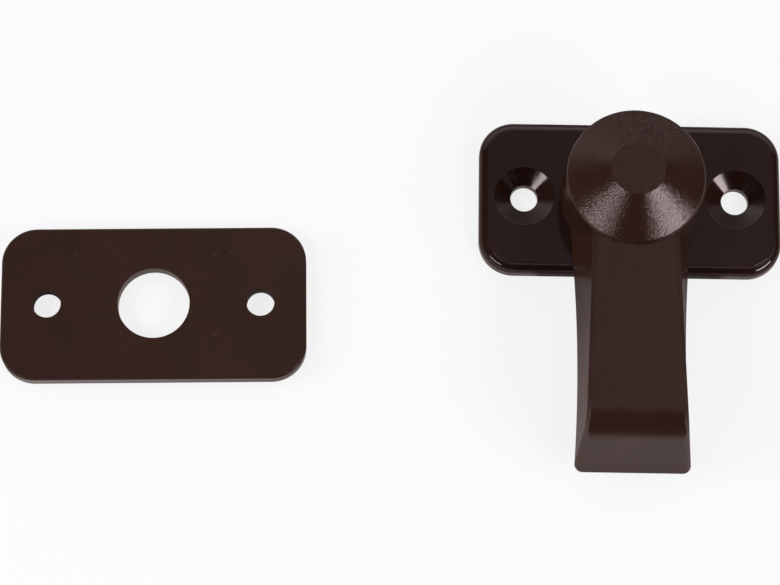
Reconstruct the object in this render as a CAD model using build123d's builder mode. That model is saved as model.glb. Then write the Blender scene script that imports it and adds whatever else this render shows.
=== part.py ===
# Twist button latch: a lever that turns on a screw-on base plate, and the packing plate that belongs to it.
# Origin: the lever's turning axis, at the back face of the base plate.
# +Z points away from the frame that the latch is screwed to, -Y runs along the lever's arm.
import os
from math import radians, tan

from build123d import *

# Base plate
plate_length = 50.0
plate_width = 26.0
plate_thickness = 3.0
plate_corner_radius = 5.75
plate_edge_radius = 1.4
panel_inset = 1.45
panel_rise = 0.15
screw_spacing = 35.0
screw_hole_diameter = 4.5
countersink_diameter = 10.0
countersink_angle = 120.0

# Lever hub and knob, heights measured from the back of the base plate
hub_rim_diameter = 22.6
hub_foot_flare = 0.3
rim_height = 14.4
rim_edge_chamfer = 0.25
knob_cone_height = 4.1
knob_disc_diameter = 8.8
knob_skin = 3.0
hub_wall = 2.0
hub_roof = 3.2

# Lever arm, lengths measured from the turning axis, widths at the foot and at the top
arm_reach = 46.7
arm_step = 0.6
arm_end_angle = 27.0
arm_end_radius = 6.5
arm_edge_chamfer = 0.55
arm_tip_corner_radius = 1.4
arm_end_trim = 0.3
arm_waist_reach = 26.0
arm_foot_root_width = 21.2
arm_foot_waist_width = 17.75
arm_foot_tip_width = 19.0
arm_top_root_width = 13.0
arm_top_tip_width = 16.2
arm_wall = 2.0
arm_roof = 2.2
rib_thickness = 1.4
rib_setback = 0.6
cross_rib_count = 3

# Pivot: a spigot under the hub, held from behind by a washer and a screw
spigot_diameter = 5.0
boss_wall = 2.8
boss_web = 2.5
washer_thickness = 1.0
screw_thread_diameter = 3.5
screw_head_diameter = 7.0
screw_head_height = 2.4
screw_head_chamfer = 0.7
screw_tip_length = 1.6
driver_slot_length = 3.6
driver_slot_width = 0.8
driver_slot_depth = 1.3

# Packing plate and where it lies beside the latch
packing_length = 50.0
packing_width = 25.7
packing_thickness = 2.5
packing_corner_radius = 5.75
packing_edge_chamfer = 0.25
packing_hole_diameter = 11.8
packing_screw_hole_diameter = 4.6
packing_offset_x = -78.22
packing_offset_y = -19.4
packing_turn = 1.465
ejector_mark_diameter = 4.2
ejector_mark_depth = 0.05
ejector_mark_spacing_x = 23.0
ejector_mark_spacing_y = 13.6

# Clearances
foot_clearance = 0.3
hub_clearance = 0.3
axial_clearance = 0.2
running_clearance = 0.05
washer_recess_clearance = 1.0
washer_bore_clearance = 0.15
thread_clearance = 0.02
screw_tip_clearance = 0.6

# Heights and radii that follow from the sizes above
foot_height = plate_thickness + foot_clearance
arm_top_height = rim_height - arm_step
disc_height = rim_height + knob_cone_height
hub_rim_radius = hub_rim_diameter / 2
hub_foot_radius = hub_rim_radius + hub_foot_flare
cavity_radius = hub_rim_radius - hub_wall
cavity_ceiling = rim_height - hub_roof
boss_radius = cavity_radius - hub_clearance
boss_top = cavity_ceiling - axial_clearance
recess_radius = boss_radius - boss_wall
recess_depth = boss_top - boss_web
spigot_radius = spigot_diameter / 2
spigot_end = recess_depth - axial_clearance
washer_bottom = spigot_end - washer_thickness
pilot_top = disc_height - knob_skin
screw_radius = screw_thread_diameter / 2
screw_tip_height = pilot_top - screw_tip_clearance

# Base plate: a slightly raised panel inside the rounded edge, and the hollow bearing boss
with BuildPart() as base_plate:
    with BuildSketch():
        RectangleRounded(plate_length, plate_width, plate_corner_radius)
    extrude(amount=plate_thickness - panel_rise)
    fillet(base_plate.faces().sort_by(Axis.Z)[-1].edges(), radius=plate_edge_radius)
    with BuildSketch():
        RectangleRounded(plate_length - 2 * panel_inset, plate_width - 2 * panel_inset,
                         plate_corner_radius - panel_inset)
    extrude(amount=plate_thickness)
    with BuildSketch():
        Circle(boss_radius)
    extrude(amount=boss_top)
    with BuildSketch():
        Circle(recess_radius)
    extrude(amount=recess_depth, mode=Mode.SUBTRACT)
    with Locations((0, 0, boss_top)):
        Hole(spigot_radius + running_clearance)
    with Locations(Plane.XY.offset(plate_thickness)):
        with GridLocations(screw_spacing, 0, 2, 1):
            CounterSinkHole(screw_hole_diameter / 2, countersink_diameter / 2,
                            counter_sink_angle=countersink_angle)
base_plate.part.label = "base_plate"


def arm_outline(height, root_width, waist_width, tip_width, reach):
    """Outline of the arm at one height: waisted sides, a straight tip and a straight root."""
    with BuildSketch(Plane.XY.offset(height)) as outline:
        with BuildLine():
            side = Spline((root_width / 2, 0), (waist_width / 2, -arm_waist_reach), (tip_width / 2, -reach))
            far_side = mirror(side, about=Plane.YZ)
            Line(side @ 0, far_side @ 0)
            Line(side @ 1, far_side @ 1)
        make_face()
    return outline.sketch


# Arm as a solid bar that leans in towards its top, trimmed to a sloping end that is rounded into the top
arm_lean = tan(radians(arm_end_angle))
arm_top_reach = arm_reach - (arm_top_height - foot_height) * arm_lean
arm_top_taper = (arm_top_tip_width - arm_top_root_width) / arm_top_reach
arm_top_waist_width = arm_top_root_width + arm_top_taper * arm_waist_reach
arm_end_normal = Vector(0, -1, arm_lean)
with BuildPart() as arm:
    loft(
        [
            arm_outline(foot_height, arm_foot_root_width, arm_foot_waist_width, arm_foot_tip_width,
                        arm_reach + arm_end_trim),
            arm_outline(arm_top_height, arm_top_root_width, arm_top_waist_width, arm_top_tip_width,
                        arm_top_reach + arm_end_trim),
        ],
        ruled=True,
    )
    split(bisect_by=Plane((0, -arm_reach, foot_height), z_dir=arm_end_normal), keep=Keep.BOTTOM)
    top_face = arm.faces().sort_by(Axis.Z)[-1]
    fillet(top_face.edges().sort_by(Axis.Y)[0], radius=arm_end_radius)
    long_edges = arm.edges().filter_by(Axis.X, reverse=True)
    long_edges = long_edges.filter_by_position(Axis.Z, foot_height, arm_top_height, (False, True))
    long_edges = long_edges.filter_by_position(Axis.Y, -arm_reach, 0, (False, False))
    chamfer(long_edges, length=arm_edge_chamfer)

# Rounded corners of the arm's tip, which lean with its end
tip_corner_low = Vector(arm_foot_tip_width / 2, -arm_reach, foot_height)
tip_corner_high = Vector(arm_top_tip_width / 2, -arm_top_reach, arm_top_height)
tip_edge = tip_corner_high - tip_corner_low
tip_corner_place = Plane(tip_corner_low, x_dir=tip_edge.cross(arm_end_normal), z_dir=tip_edge)
with BuildPart() as tip_corner:
    with BuildSketch(tip_corner_place.offset(-arm_tip_corner_radius)):
        with Locations((-arm_tip_corner_radius, arm_tip_corner_radius)):
            Rectangle(2 * arm_tip_corner_radius, 2 * arm_tip_corner_radius, align=(Align.MIN, Align.MAX))
            Circle(arm_tip_corner_radius, mode=Mode.SUBTRACT)
    extrude(amount=tip_edge.length + 2 * arm_tip_corner_radius)
    mirror(about=Plane.YZ)

# Hollow below the arm, which leaves its walls, its roof, one long rib and the cross ribs
core_ceiling = arm_top_height - arm_roof
core_rise = (core_ceiling - foot_height) / (arm_top_height - foot_height)


def core_width(foot_width, top_width):
    """Width of the hollow at its ceiling, between the leaning walls."""
    return foot_width + (top_width - foot_width) * core_rise - 2 * arm_wall


core_reach = arm_reach - arm_wall
core_ceiling_reach = core_reach - (core_ceiling - foot_height) * arm_lean
cross_rib_pitch = (core_reach - hub_rim_radius) / (cross_rib_count + 1)
cross_rib_middle = -(core_reach + hub_rim_radius) / 2
with BuildPart() as arm_core:
    loft(
        [
            arm_outline(foot_height, arm_foot_root_width - 2 * arm_wall, arm_foot_waist_width - 2 * arm_wall,
                        arm_foot_tip_width - 2 * arm_wall, core_reach),
            arm_outline(core_ceiling, core_width(arm_foot_root_width, arm_top_root_width),
                        core_width(arm_foot_waist_width, arm_top_waist_width),
                        core_width(arm_foot_tip_width, arm_top_tip_width), core_ceiling_reach),
        ],
        ruled=True,
    )
    core_roof = arm_core.faces().sort_by(Axis.Z)[-1]
    fillet(core_roof.edges().sort_by(Axis.Y)[0], radius=arm_end_radius - arm_wall)
    with BuildSketch(Plane.XY.offset(foot_height)):
        Circle(hub_rim_radius)
    extrude(amount=core_ceiling - foot_height, mode=Mode.SUBTRACT)
    with BuildSketch(Plane.XY.offset(foot_height + rib_setback)):
        Rectangle(rib_thickness, arm_reach, align=(Align.CENTER, Align.MAX))
        with Locations((0, cross_rib_middle)):
            with GridLocations(0, cross_rib_pitch, 1, cross_rib_count):
                Rectangle(arm_foot_root_width, rib_thickness)
    extrude(amount=core_ceiling - foot_height, mode=Mode.SUBTRACT)

# Lever: hub, conical knob and arm in one moulding
with BuildPart() as turn_lever:
    with BuildSketch(Plane.XZ) as knob_profile:
        with BuildLine():
            Polyline((0, foot_height), (hub_foot_radius, foot_height), (hub_rim_radius, rim_height),
                     (knob_disc_diameter / 2, disc_height), (0, disc_height), close=True)
        make_face()
        rim_corner = knob_profile.vertices().group_by(Axis.Y)[1]
        chamfer(rim_corner, length=rim_edge_chamfer)
    revolve(axis=Axis.Z)
    add(arm.part - tip_corner.part)
    add(arm_core.part, mode=Mode.SUBTRACT)
    with BuildSketch(Plane.XY.offset(foot_height)):
        Circle(cavity_radius)
    extrude(amount=cavity_ceiling - foot_height, mode=Mode.SUBTRACT)
    with BuildSketch(Plane.XY.offset(spigot_end)):
        Circle(spigot_radius)
    extrude(amount=cavity_ceiling - spigot_end)
    with BuildSketch(Plane.XY.offset(spigot_end)):
        Circle(screw_radius)
    extrude(amount=pilot_top - spigot_end, mode=Mode.SUBTRACT)
turn_lever.part.label = "turn_lever"

# Washer that bears against the end of the spigot
with BuildPart() as pivot_washer:
    with BuildSketch(Plane.XY.offset(washer_bottom)):
        Circle(recess_radius - washer_recess_clearance)
        Circle(screw_radius + washer_bore_clearance, mode=Mode.SUBTRACT)
    extrude(amount=washer_thickness)
pivot_washer.part.label = "pivot_washer"

# Pan-head screw, driven from behind into the spigot
head_bottom = washer_bottom - screw_head_height
shank_radius = screw_radius - thread_clearance
with BuildPart() as pivot_screw:
    with BuildSketch(Plane.XZ) as screw_profile:
        with BuildLine():
            Polyline((0, head_bottom), (screw_head_diameter / 2, head_bottom),
                     (screw_head_diameter / 2, washer_bottom), (shank_radius, washer_bottom),
                     (shank_radius, screw_tip_height - screw_tip_length), (0, screw_tip_height), close=True)
        make_face()
        head_corner = screw_profile.vertices().group_by(Axis.Y)[0].sort_by(Axis.X)[-1]
        chamfer(head_corner, length=screw_head_chamfer)
    revolve(axis=Axis.Z)
    with BuildSketch(Plane.XY.offset(head_bottom)):
        Rectangle(driver_slot_length, driver_slot_width)
        Rectangle(driver_slot_width, driver_slot_length)
    extrude(amount=driver_slot_depth, mode=Mode.SUBTRACT)
pivot_screw.part.label = "pivot_screw"

# Packing plate, lying on the same surface as the base plate
packing_place = Plane(origin=(packing_offset_x, packing_offset_y, 0)).rotated((0, 0, packing_turn))
with BuildPart() as packing_plate:
    with BuildSketch(packing_place):
        RectangleRounded(packing_length, packing_width, packing_corner_radius)
        Circle(packing_hole_diameter / 2, mode=Mode.SUBTRACT)
        with GridLocations(screw_spacing, 0, 2, 1):
            Circle(packing_screw_hole_diameter / 2, mode=Mode.SUBTRACT)
    extrude(amount=packing_thickness)
    face_outline = packing_plate.faces().sort_by(Axis.Z)[-1].outer_wire()
    chamfer(face_outline.edges(), length=packing_edge_chamfer)
    with BuildSketch(packing_place.offset(packing_thickness)):
        with GridLocations(ejector_mark_spacing_x, ejector_mark_spacing_y, 2, 2):
            Circle(ejector_mark_diameter / 2)
    extrude(amount=-ejector_mark_depth, mode=Mode.SUBTRACT)
packing_plate.part.label = "packing_plate"

os.makedirs("parts", exist_ok=True)
for piece in (base_plate, turn_lever, pivot_washer, pivot_screw, packing_plate):
    export_step(piece.part, f"parts/{piece.part.label}.step")
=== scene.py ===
import math

import bpy
from mathutils import Matrix, Vector


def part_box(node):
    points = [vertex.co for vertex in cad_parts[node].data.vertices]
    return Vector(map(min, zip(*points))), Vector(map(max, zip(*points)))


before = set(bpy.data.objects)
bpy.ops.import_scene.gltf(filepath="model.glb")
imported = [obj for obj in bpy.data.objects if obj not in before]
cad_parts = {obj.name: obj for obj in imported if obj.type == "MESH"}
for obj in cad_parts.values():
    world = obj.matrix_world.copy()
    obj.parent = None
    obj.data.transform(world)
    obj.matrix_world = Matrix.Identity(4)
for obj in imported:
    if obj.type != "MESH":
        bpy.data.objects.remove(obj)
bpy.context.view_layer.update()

WHITE = (1.0, 1.0, 1.0)
# Tint of the softboxes, and of the room and the table in reflections
WARM = (1.0, 0.86, 0.84)

# Camera, in degrees and metres: it looks down at the latch and its packing plate from the front
IMAGE_WIDTH_PX = 780
FOCAL_LENGTH_PX = 2796.4
SENSOR_WIDTH_MM = 36.0
CAMERA_NEAR = 0.01
CAMERA_ELEVATION = 74.09
CAMERA_AZIMUTH = -0.77
CAMERA_ROLL = 1.70
CAMERA_DISTANCE = 0.4615
CAMERA_TARGET = Vector((-0.0395, -0.01622, 0.0))

# Lamps: azimuth and elevation of the direction they stand in, distance, width, height, radiance and colour
LAMPS = {
    "softbox_left": (221.0, 44.0, 0.6, 0.28, 0.085, 9.6, WARM),
    "softbox_right": (-36.0, 34.0, 0.6, 0.34, 0.14, 12.0, WARM),
    "fill_left": (180.0, 25.0, 0.8, 0.50, 0.50, 6.0, WHITE),
    "fill_right": (0.0, 25.0, 0.8, 0.50, 0.50, 2.6, WHITE),
}
DIFFUSE_ONLY = ("fill_left", "fill_right")
LIGHT_CENTRE = Vector((-0.02, -0.015, 0.0))

# Room, by direction, fitted to the photograph: each pair is where a change along that axis starts and ends.
# The ceiling is brighter on the right than on the left, fades to the front, and is dimmer to the rear.
LEFT_TO_RIGHT_X = (-0.12, 0.10)
CEILING_LEFT = 0.11
CEILING_RIGHT = 0.62
CEILING_Z = (0.6, 0.95)
CEILING_FRONT_Y = (-0.35, 0.10)
CEILING_REAR_Y = (0.16, 0.32)
CEILING_REAR_SHARE = 0.36
# The wall behind the object is bright above and dim below
BACK_Y = (0.35, 0.70)
BACK_Z = (0.10, 0.60)
BACK_LOW = 0.12
BACK_HIGH = 1.2
# A strip low at the sides and in front is paler on the left
STRIP_Z = (0.42, 0.05)
STRIP_Y = (0.10, 0.45)
STRIP_LEFT = 0.8
STRIP_RIGHT = 0.10

# Table top: white paper. The camera sees this share of it as plain white, and the rest with the object's shadow
TABLE_SIDE = 3.0
TABLE_DROP = 0.00002
TABLE_COLOUR = (0.84, 0.87, 0.88)
TABLE_PLAIN_WHITE = 0.80

# Table in reflections, fitted to the photograph: how bright it is, and the places in metres where that changes.
# These are painted shade and painted brightness, which no lamp lights. Beside the arm it is dark with a painted shadow
# of the arm, most of all at the arm's root.
ARM_Y = (-0.012, -0.045)
PAINTED_SHADOW_AT_ARM_ROOT = 0.16
PAINTED_SHADOW_AT_ARM_TIP = 0.33
ARM_SHADE_X = (0.0135, 0.0165)
TABLE_BESIDE = 0.47
# It is white before the packing plate, behind the latch, and in front of the arm from a little way off
PACKING_X = (-0.045, -0.035)
PACKING_FRONT_Y = (-0.030, -0.034)
BEHIND_Y = (0.02, 0.10)
TABLE_BEHIND = 1.0
ARM_TIP_Y = (-0.045, -0.047)
ARM_FRONT_Y = (-0.047, -0.070)
TABLE_BEFORE_ARM = 0.68
TABLE_IN_FRONT = 1.0
# A painted shade darkens it inside the packing plate's two small holes
SMALL_HOLE_OFFSET = 0.0175
SMALL_HOLE_EDGE = (0.0022, 0.0034)
PAINTED_SHADE_IN_SMALL_HOLE = 0.15

# Noise textures stay mostly within this span
NOISE_SPAN = (0.3, 0.7)

# Plastic of each node: material name, linear colour, roughness and its spread, scale and height of the grain,
# and the radius of the softened edges
PLASTICS = {
    "turn_lever": ("satin_brown_plastic", (0.0258, 0.0107, 0.0071), 0.17, 0.02, 5000.0, 0.000034, 0.0001),
    "base_plate": ("gloss_brown_plastic", (0.0168, 0.0071, 0.0054), 0.1, 0.02, 700.0, 0.000001, 0.00015),
    "packing_plate": ("packing_brown_plastic", (0.0252, 0.0098, 0.0064), 0.28, 0.02, 3000.0, 0.000001, 0.00008),
}
PLASTIC_IOR = 1.5
CLOUD_SCALE = 160.0
CLOUD_DETAIL = 3.0
CLOUD_DARK = 0.9
CLOUD_LIGHT = 1.1
BEVEL_SAMPLES = 6
# Rubbed edges: how much lighter they are, how strongly it shows, and the cosines of the edge's turn that it grows over
RUBBED_LIGHT = 1.25
RUBBED_SHARE = 0.6
RUBBED_TURN = (0.999, 0.85)

# Zinc-plated steel of the washer and the screw
ZINC = (0.58, 0.58, 0.56)
ZINC_DARK = 0.85
ZINC_ROUGHNESS = (0.28, 0.4)
SPANGLE_SCALE = 900.0
SPANGLE_DETAIL = 3.0
SPANGLE_HEIGHT = 0.000004


def direction(azimuth, elevation):
    """Unit vector towards a place given by its azimuth and elevation in degrees."""
    a = math.radians(azimuth)
    e = math.radians(elevation)
    return Vector((math.cos(a) * math.cos(e), math.sin(a) * math.cos(e), math.sin(e)))


def scaled(colour, factor):
    """Colour made lighter or darker by a factor."""
    return tuple(factor * channel for channel in colour)


def add_camera():
    """Camera at the photograph's place, with its roll and field of view."""
    back = direction(CAMERA_AZIMUTH - 90.0, CAMERA_ELEVATION)
    right = (-back).cross(Vector((0, 0, 1))).normalized()
    up = right.cross(-back)
    roll = math.radians(CAMERA_ROLL)
    axis_x = right * math.cos(roll) + up * math.sin(roll)
    axis_y = up * math.cos(roll) - right * math.sin(roll)
    data = bpy.data.cameras.new("camera")
    data.sensor_fit = "HORIZONTAL"
    data.sensor_width = SENSOR_WIDTH_MM
    data.lens = SENSOR_WIDTH_MM * FOCAL_LENGTH_PX / IMAGE_WIDTH_PX
    data.clip_start = CAMERA_NEAR
    camera = bpy.data.objects.new("camera", data)
    place = Matrix((axis_x, axis_y, back)).transposed().to_4x4()
    place.translation = CAMERA_TARGET + back * CAMERA_DISTANCE
    camera.matrix_world = place
    bpy.context.scene.collection.objects.link(camera)
    bpy.context.scene.camera = camera


def add_lamps():
    """Two softboxes in front of the object, left and right, and a large fill light at each side."""
    for name, (azimuth, elevation, distance, width, height, radiance, colour) in LAMPS.items():
        data = bpy.data.lights.new(name, "AREA")
        data.shape = "RECTANGLE"
        data.size = width
        data.size_y = height
        data.energy = radiance * math.pi * width * height
        data.color = colour
        lamp = bpy.data.objects.new(name, data)
        towards = direction(azimuth, elevation)
        lamp.location = LIGHT_CENTRE + towards * distance
        lamp.rotation_euler = towards.to_track_quat("Z", "Y").to_euler()
        lamp.visible_camera = False
        lamp.visible_glossy = name not in DIFFUSE_ONLY
        bpy.context.scene.collection.objects.link(lamp)


class Nodes:
    """Short way to add and link shader nodes in one tree."""

    def __init__(self, tree):
        self.tree = tree
        tree.nodes.clear()

    def add(self, kind, **settings):
        node = self.tree.nodes.new(kind)
        for name, value in settings.items():
            setattr(node, name, value)
        return node

    def link(self, source, target):
        self.tree.links.new(source, target)

    def feed(self, socket, value):
        """Links another node's output to the socket, or sets a plain value on it."""
        if isinstance(value, bpy.types.NodeSocket):
            self.link(value, socket)
        else:
            socket.default_value = value

    def math(self, operation, *values):
        node = self.add("ShaderNodeMath", operation=operation)
        for socket, value in zip(node.inputs, values):
            self.feed(socket, value)
        return node.outputs[0]

    def chain(self, operation, first, *others):
        """The same operation over several values, one after the other."""
        for other in others:
            first = self.math(operation, first, other)
        return first

    def ramp(self, value, span, result=(0.0, 1.0), kind="LINEAR"):
        """Goes from the first result to the second while the value crosses the span."""
        node = self.add("ShaderNodeMapRange", interpolation_type=kind)
        self.link(value, node.inputs["Value"])
        node.inputs["From Min"].default_value, node.inputs["From Max"].default_value = span
        node.inputs["To Min"].default_value, node.inputs["To Max"].default_value = result
        return node.outputs["Result"]

    def fade(self, value, span, result=(0.0, 1.0)):
        """A ramp that starts and ends gently."""
        return self.ramp(value, span, result, "SMOOTHSTEP")

    def mix_colour(self, factor, first, second):
        node = self.add("ShaderNodeMix", data_type="RGBA")
        self.link(factor, node.inputs["Factor"])
        for socket, colour in ((node.inputs["A"], first), (node.inputs["B"], second)):
            self.feed(socket, (*colour, 1.0) if isinstance(colour, tuple) else colour)
        return node.outputs["Result"]

    def noise(self, place, scale, detail):
        node = self.add("ShaderNodeTexNoise")
        self.link(place, node.inputs["Vector"])
        node.inputs["Scale"].default_value = scale
        node.inputs["Detail"].default_value = detail
        return node.outputs["Fac"]

    def coordinates(self, kind):
        return self.add("ShaderNodeTexCoord").outputs[kind]

    def axes(self, vector):
        node = self.add("ShaderNodeSeparateXYZ")
        self.link(vector, node.inputs[0])
        return node.outputs["X"], node.outputs["Y"], node.outputs["Z"]


def new_material(name):
    """Material with an empty node tree, and the socket that its shader goes to."""
    material = bpy.data.materials.new(name)
    material.use_nodes = True
    n = Nodes(material.node_tree)
    return material, n, n.add("ShaderNodeOutputMaterial").inputs["Surface"]


def room_light(n):
    """Brightness of the room in each direction: ceiling, wall behind and pale strip."""
    x, y, z = n.axes(n.coordinates("Generated"))
    ceiling = n.chain("MULTIPLY", n.fade(z, CEILING_Z),
                      n.fade(x, LEFT_TO_RIGHT_X, (CEILING_LEFT, CEILING_RIGHT)),
                      n.fade(y, CEILING_FRONT_Y),
                      n.fade(y, CEILING_REAR_Y, (1.0, CEILING_REAR_SHARE)))
    back = n.chain("MULTIPLY", n.fade(y, BACK_Y), n.fade(z, BACK_Z, (BACK_LOW, BACK_HIGH)))
    strip = n.chain("MULTIPLY", n.fade(z, STRIP_Z), n.fade(y, STRIP_Y, (1.0, 0.0)),
                    n.fade(x, LEFT_TO_RIGHT_X, (STRIP_LEFT, STRIP_RIGHT)))
    return n.chain("ADD", ceiling, back, strip)


def set_world():
    """Studio room that lights the object and shows in reflections. The camera sees a white background instead."""
    world = bpy.data.worlds.new("room")
    bpy.context.scene.world = world
    world.use_nodes = True
    n = Nodes(world.node_tree)
    ray = n.add("ShaderNodeLightPath")
    seen = n.math("MAXIMUM", ray.outputs["Is Camera Ray"], ray.outputs["Is Transmission Ray"])
    background = n.add("ShaderNodeBackground")
    n.link(n.mix_colour(seen, WARM, WHITE), background.inputs["Color"])
    n.link(n.math("MAXIMUM", room_light(n), seen), background.inputs["Strength"])
    n.link(background.outputs[0], n.add("ShaderNodeOutputWorld").inputs["Surface"])


def painted_table_reflection(n):
    """How bright reflections show the table at each place: painted shade and painted brightness, set values which no
    lamp changes.
    """
    place = n.coordinates("Object")
    x, y, _ = n.axes(place)
    # Painted shadow of the arm on the table as reflections show it
    painted_arm_shadow = n.ramp(y, ARM_Y, (PAINTED_SHADOW_AT_ARM_ROOT, PAINTED_SHADOW_AT_ARM_TIP))
    beyond_shade = n.fade(n.math("ABSOLUTE", x), ARM_SHADE_X, (0.0, TABLE_BESIDE))
    before_packing = n.math("MULTIPLY", n.fade(x, PACKING_X, (1.0, 0.0)), n.fade(y, PACKING_FRONT_Y))
    before_arm = n.math("MULTIPLY", n.ramp(y, ARM_TIP_Y),
                        n.fade(y, ARM_FRONT_Y, (TABLE_BEFORE_ARM, TABLE_IN_FRONT)))
    behind = n.fade(y, BEHIND_Y, (0.0, TABLE_BEHIND))
    bright = n.chain("MAXIMUM", painted_arm_shadow, beyond_shade, before_packing, before_arm, behind)
    packing_low, packing_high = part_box("packing_plate")
    middle = (Vector(packing_low) + Vector(packing_high)) / 2
    # Painted shade on the table inside the packing plate's two small holes
    for offset in (-SMALL_HOLE_OFFSET, SMALL_HOLE_OFFSET):
        distance = n.add("ShaderNodeVectorMath", operation="DISTANCE")
        n.link(place, distance.inputs[0])
        distance.inputs[1].default_value = (middle.x + offset, middle.y, 0.0)
        painted_hole_shade = n.fade(distance.outputs["Value"], SMALL_HOLE_EDGE, (PAINTED_SHADE_IN_SMALL_HOLE, 1.0))
        bright = n.math("MULTIPLY", bright, painted_hole_shade)
    return bright


def white_table():
    """Paper that the camera sees white with a soft shadow. Reflections show it with painted shade and painted
    brightness, set by place.
    """
    material, n, surface = new_material("white_table")
    ray = n.add("ShaderNodeLightPath")
    seen = ray.outputs["Is Camera Ray"]
    reflected = n.math("MAXIMUM", ray.outputs["Is Glossy Ray"], ray.outputs["Is Transmission Ray"])
    paper = n.add("ShaderNodeBsdfDiffuse")
    paper.inputs["Color"].default_value = (*TABLE_COLOUR, 1.0)
    glow = n.add("ShaderNodeEmission")
    n.link(n.mix_colour(seen, WARM, WHITE), glow.inputs["Color"])
    bright = n.math("MULTIPLY", reflected, painted_table_reflection(n))
    n.link(n.math("MAXIMUM", seen, bright), glow.inputs["Strength"])
    mixed = n.add("ShaderNodeMixShader")
    n.link(n.math("MAXIMUM", reflected, n.math("MULTIPLY", seen, TABLE_PLAIN_WHITE)), mixed.inputs[0])
    n.link(paper.outputs[0], mixed.inputs[1])
    n.link(glow.outputs[0], mixed.inputs[2])
    n.link(mixed.outputs[0], surface)
    return material


def add_floor():
    """Table top just below the object."""
    half = TABLE_SIDE / 2
    corners = [(x, y, -TABLE_DROP) for x, y in ((-half, -half), (half, -half), (half, half), (-half, half))]
    mesh = bpy.data.meshes.new("floor")
    mesh.from_pydata(corners, [], [(0, 1, 2, 3)])
    mesh.materials.append(white_table())
    floor = bpy.data.objects.new("floor", mesh)
    bpy.context.scene.collection.objects.link(floor)


def plastic_colour(n, place, colour, edge_normal):
    """Body colour with faint clouds, and slightly lighter where edges are rubbed."""
    cloud = n.ramp(n.noise(place, CLOUD_SCALE, CLOUD_DETAIL), NOISE_SPAN)
    body = n.mix_colour(cloud, scaled(colour, CLOUD_DARK), scaled(colour, CLOUD_LIGHT))
    turn = n.add("ShaderNodeVectorMath", operation="DOT_PRODUCT")
    n.link(edge_normal, turn.inputs[0])
    n.link(n.add("ShaderNodeNewGeometry").outputs["Normal"], turn.inputs[1])
    rubbed = n.ramp(turn.outputs["Value"], RUBBED_TURN, (0.0, RUBBED_SHARE))
    return n.mix_colour(rubbed, body, scaled(colour, RUBBED_LIGHT))


def plastic(name, colour, roughness, roughness_spread, grain_scale, grain_height, edge_radius):
    """Through-coloured moulded plastic with a fine grain and softened edges."""
    material, n, surface = new_material(name)
    place = n.coordinates("Object")
    bevel = n.add("ShaderNodeBevel", samples=BEVEL_SAMPLES)
    bevel.inputs["Radius"].default_value = edge_radius
    edge_normal = bevel.outputs[0]
    shader = n.add("ShaderNodeBsdfPrincipled")
    shader.inputs["IOR"].default_value = PLASTIC_IOR
    n.link(plastic_colour(n, place, colour, edge_normal), shader.inputs["Base Color"])
    grain = n.noise(place, grain_scale, 0.0)
    rough = n.ramp(grain, NOISE_SPAN, (roughness - roughness_spread, roughness + roughness_spread))
    n.link(rough, shader.inputs["Roughness"])
    bump = n.add("ShaderNodeBump")
    bump.inputs["Distance"].default_value = grain_height
    n.link(grain, bump.inputs["Height"])
    n.link(edge_normal, bump.inputs["Normal"])
    n.link(bump.outputs[0], shader.inputs["Normal"])
    n.link(shader.outputs[0], surface)
    return material


def plated_steel(name, colour):
    """Zinc-plated steel with faint crystal spangle."""
    material, n, surface = new_material(name)
    spangle = n.ramp(n.noise(n.coordinates("Object"), SPANGLE_SCALE, SPANGLE_DETAIL), NOISE_SPAN)
    shader = n.add("ShaderNodeBsdfPrincipled")
    shader.inputs["Metallic"].default_value = 1.0
    n.link(n.mix_colour(spangle, scaled(colour, ZINC_DARK), colour), shader.inputs["Base Color"])
    n.link(n.ramp(spangle, (0.0, 1.0), ZINC_ROUGHNESS), shader.inputs["Roughness"])
    bump = n.add("ShaderNodeBump")
    bump.inputs["Distance"].default_value = SPANGLE_HEIGHT
    n.link(spangle, bump.inputs["Height"])
    n.link(bump.outputs[0], shader.inputs["Normal"])
    n.link(shader.outputs[0], surface)
    return material


def dress(node, material):
    """Gives a CAD node its finish."""
    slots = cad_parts[node].data.materials
    slots.clear()
    slots.append(material)


add_camera()
add_lamps()
set_world()
add_floor()

for node, finish in PLASTICS.items():
    dress(node, plastic(*finish))
zinc = plated_steel("zinc_plated", ZINC)
dress("pivot_washer", zinc)
dress("pivot_screw", zinc)

bpy.context.scene.view_settings.view_transform = "Standard"
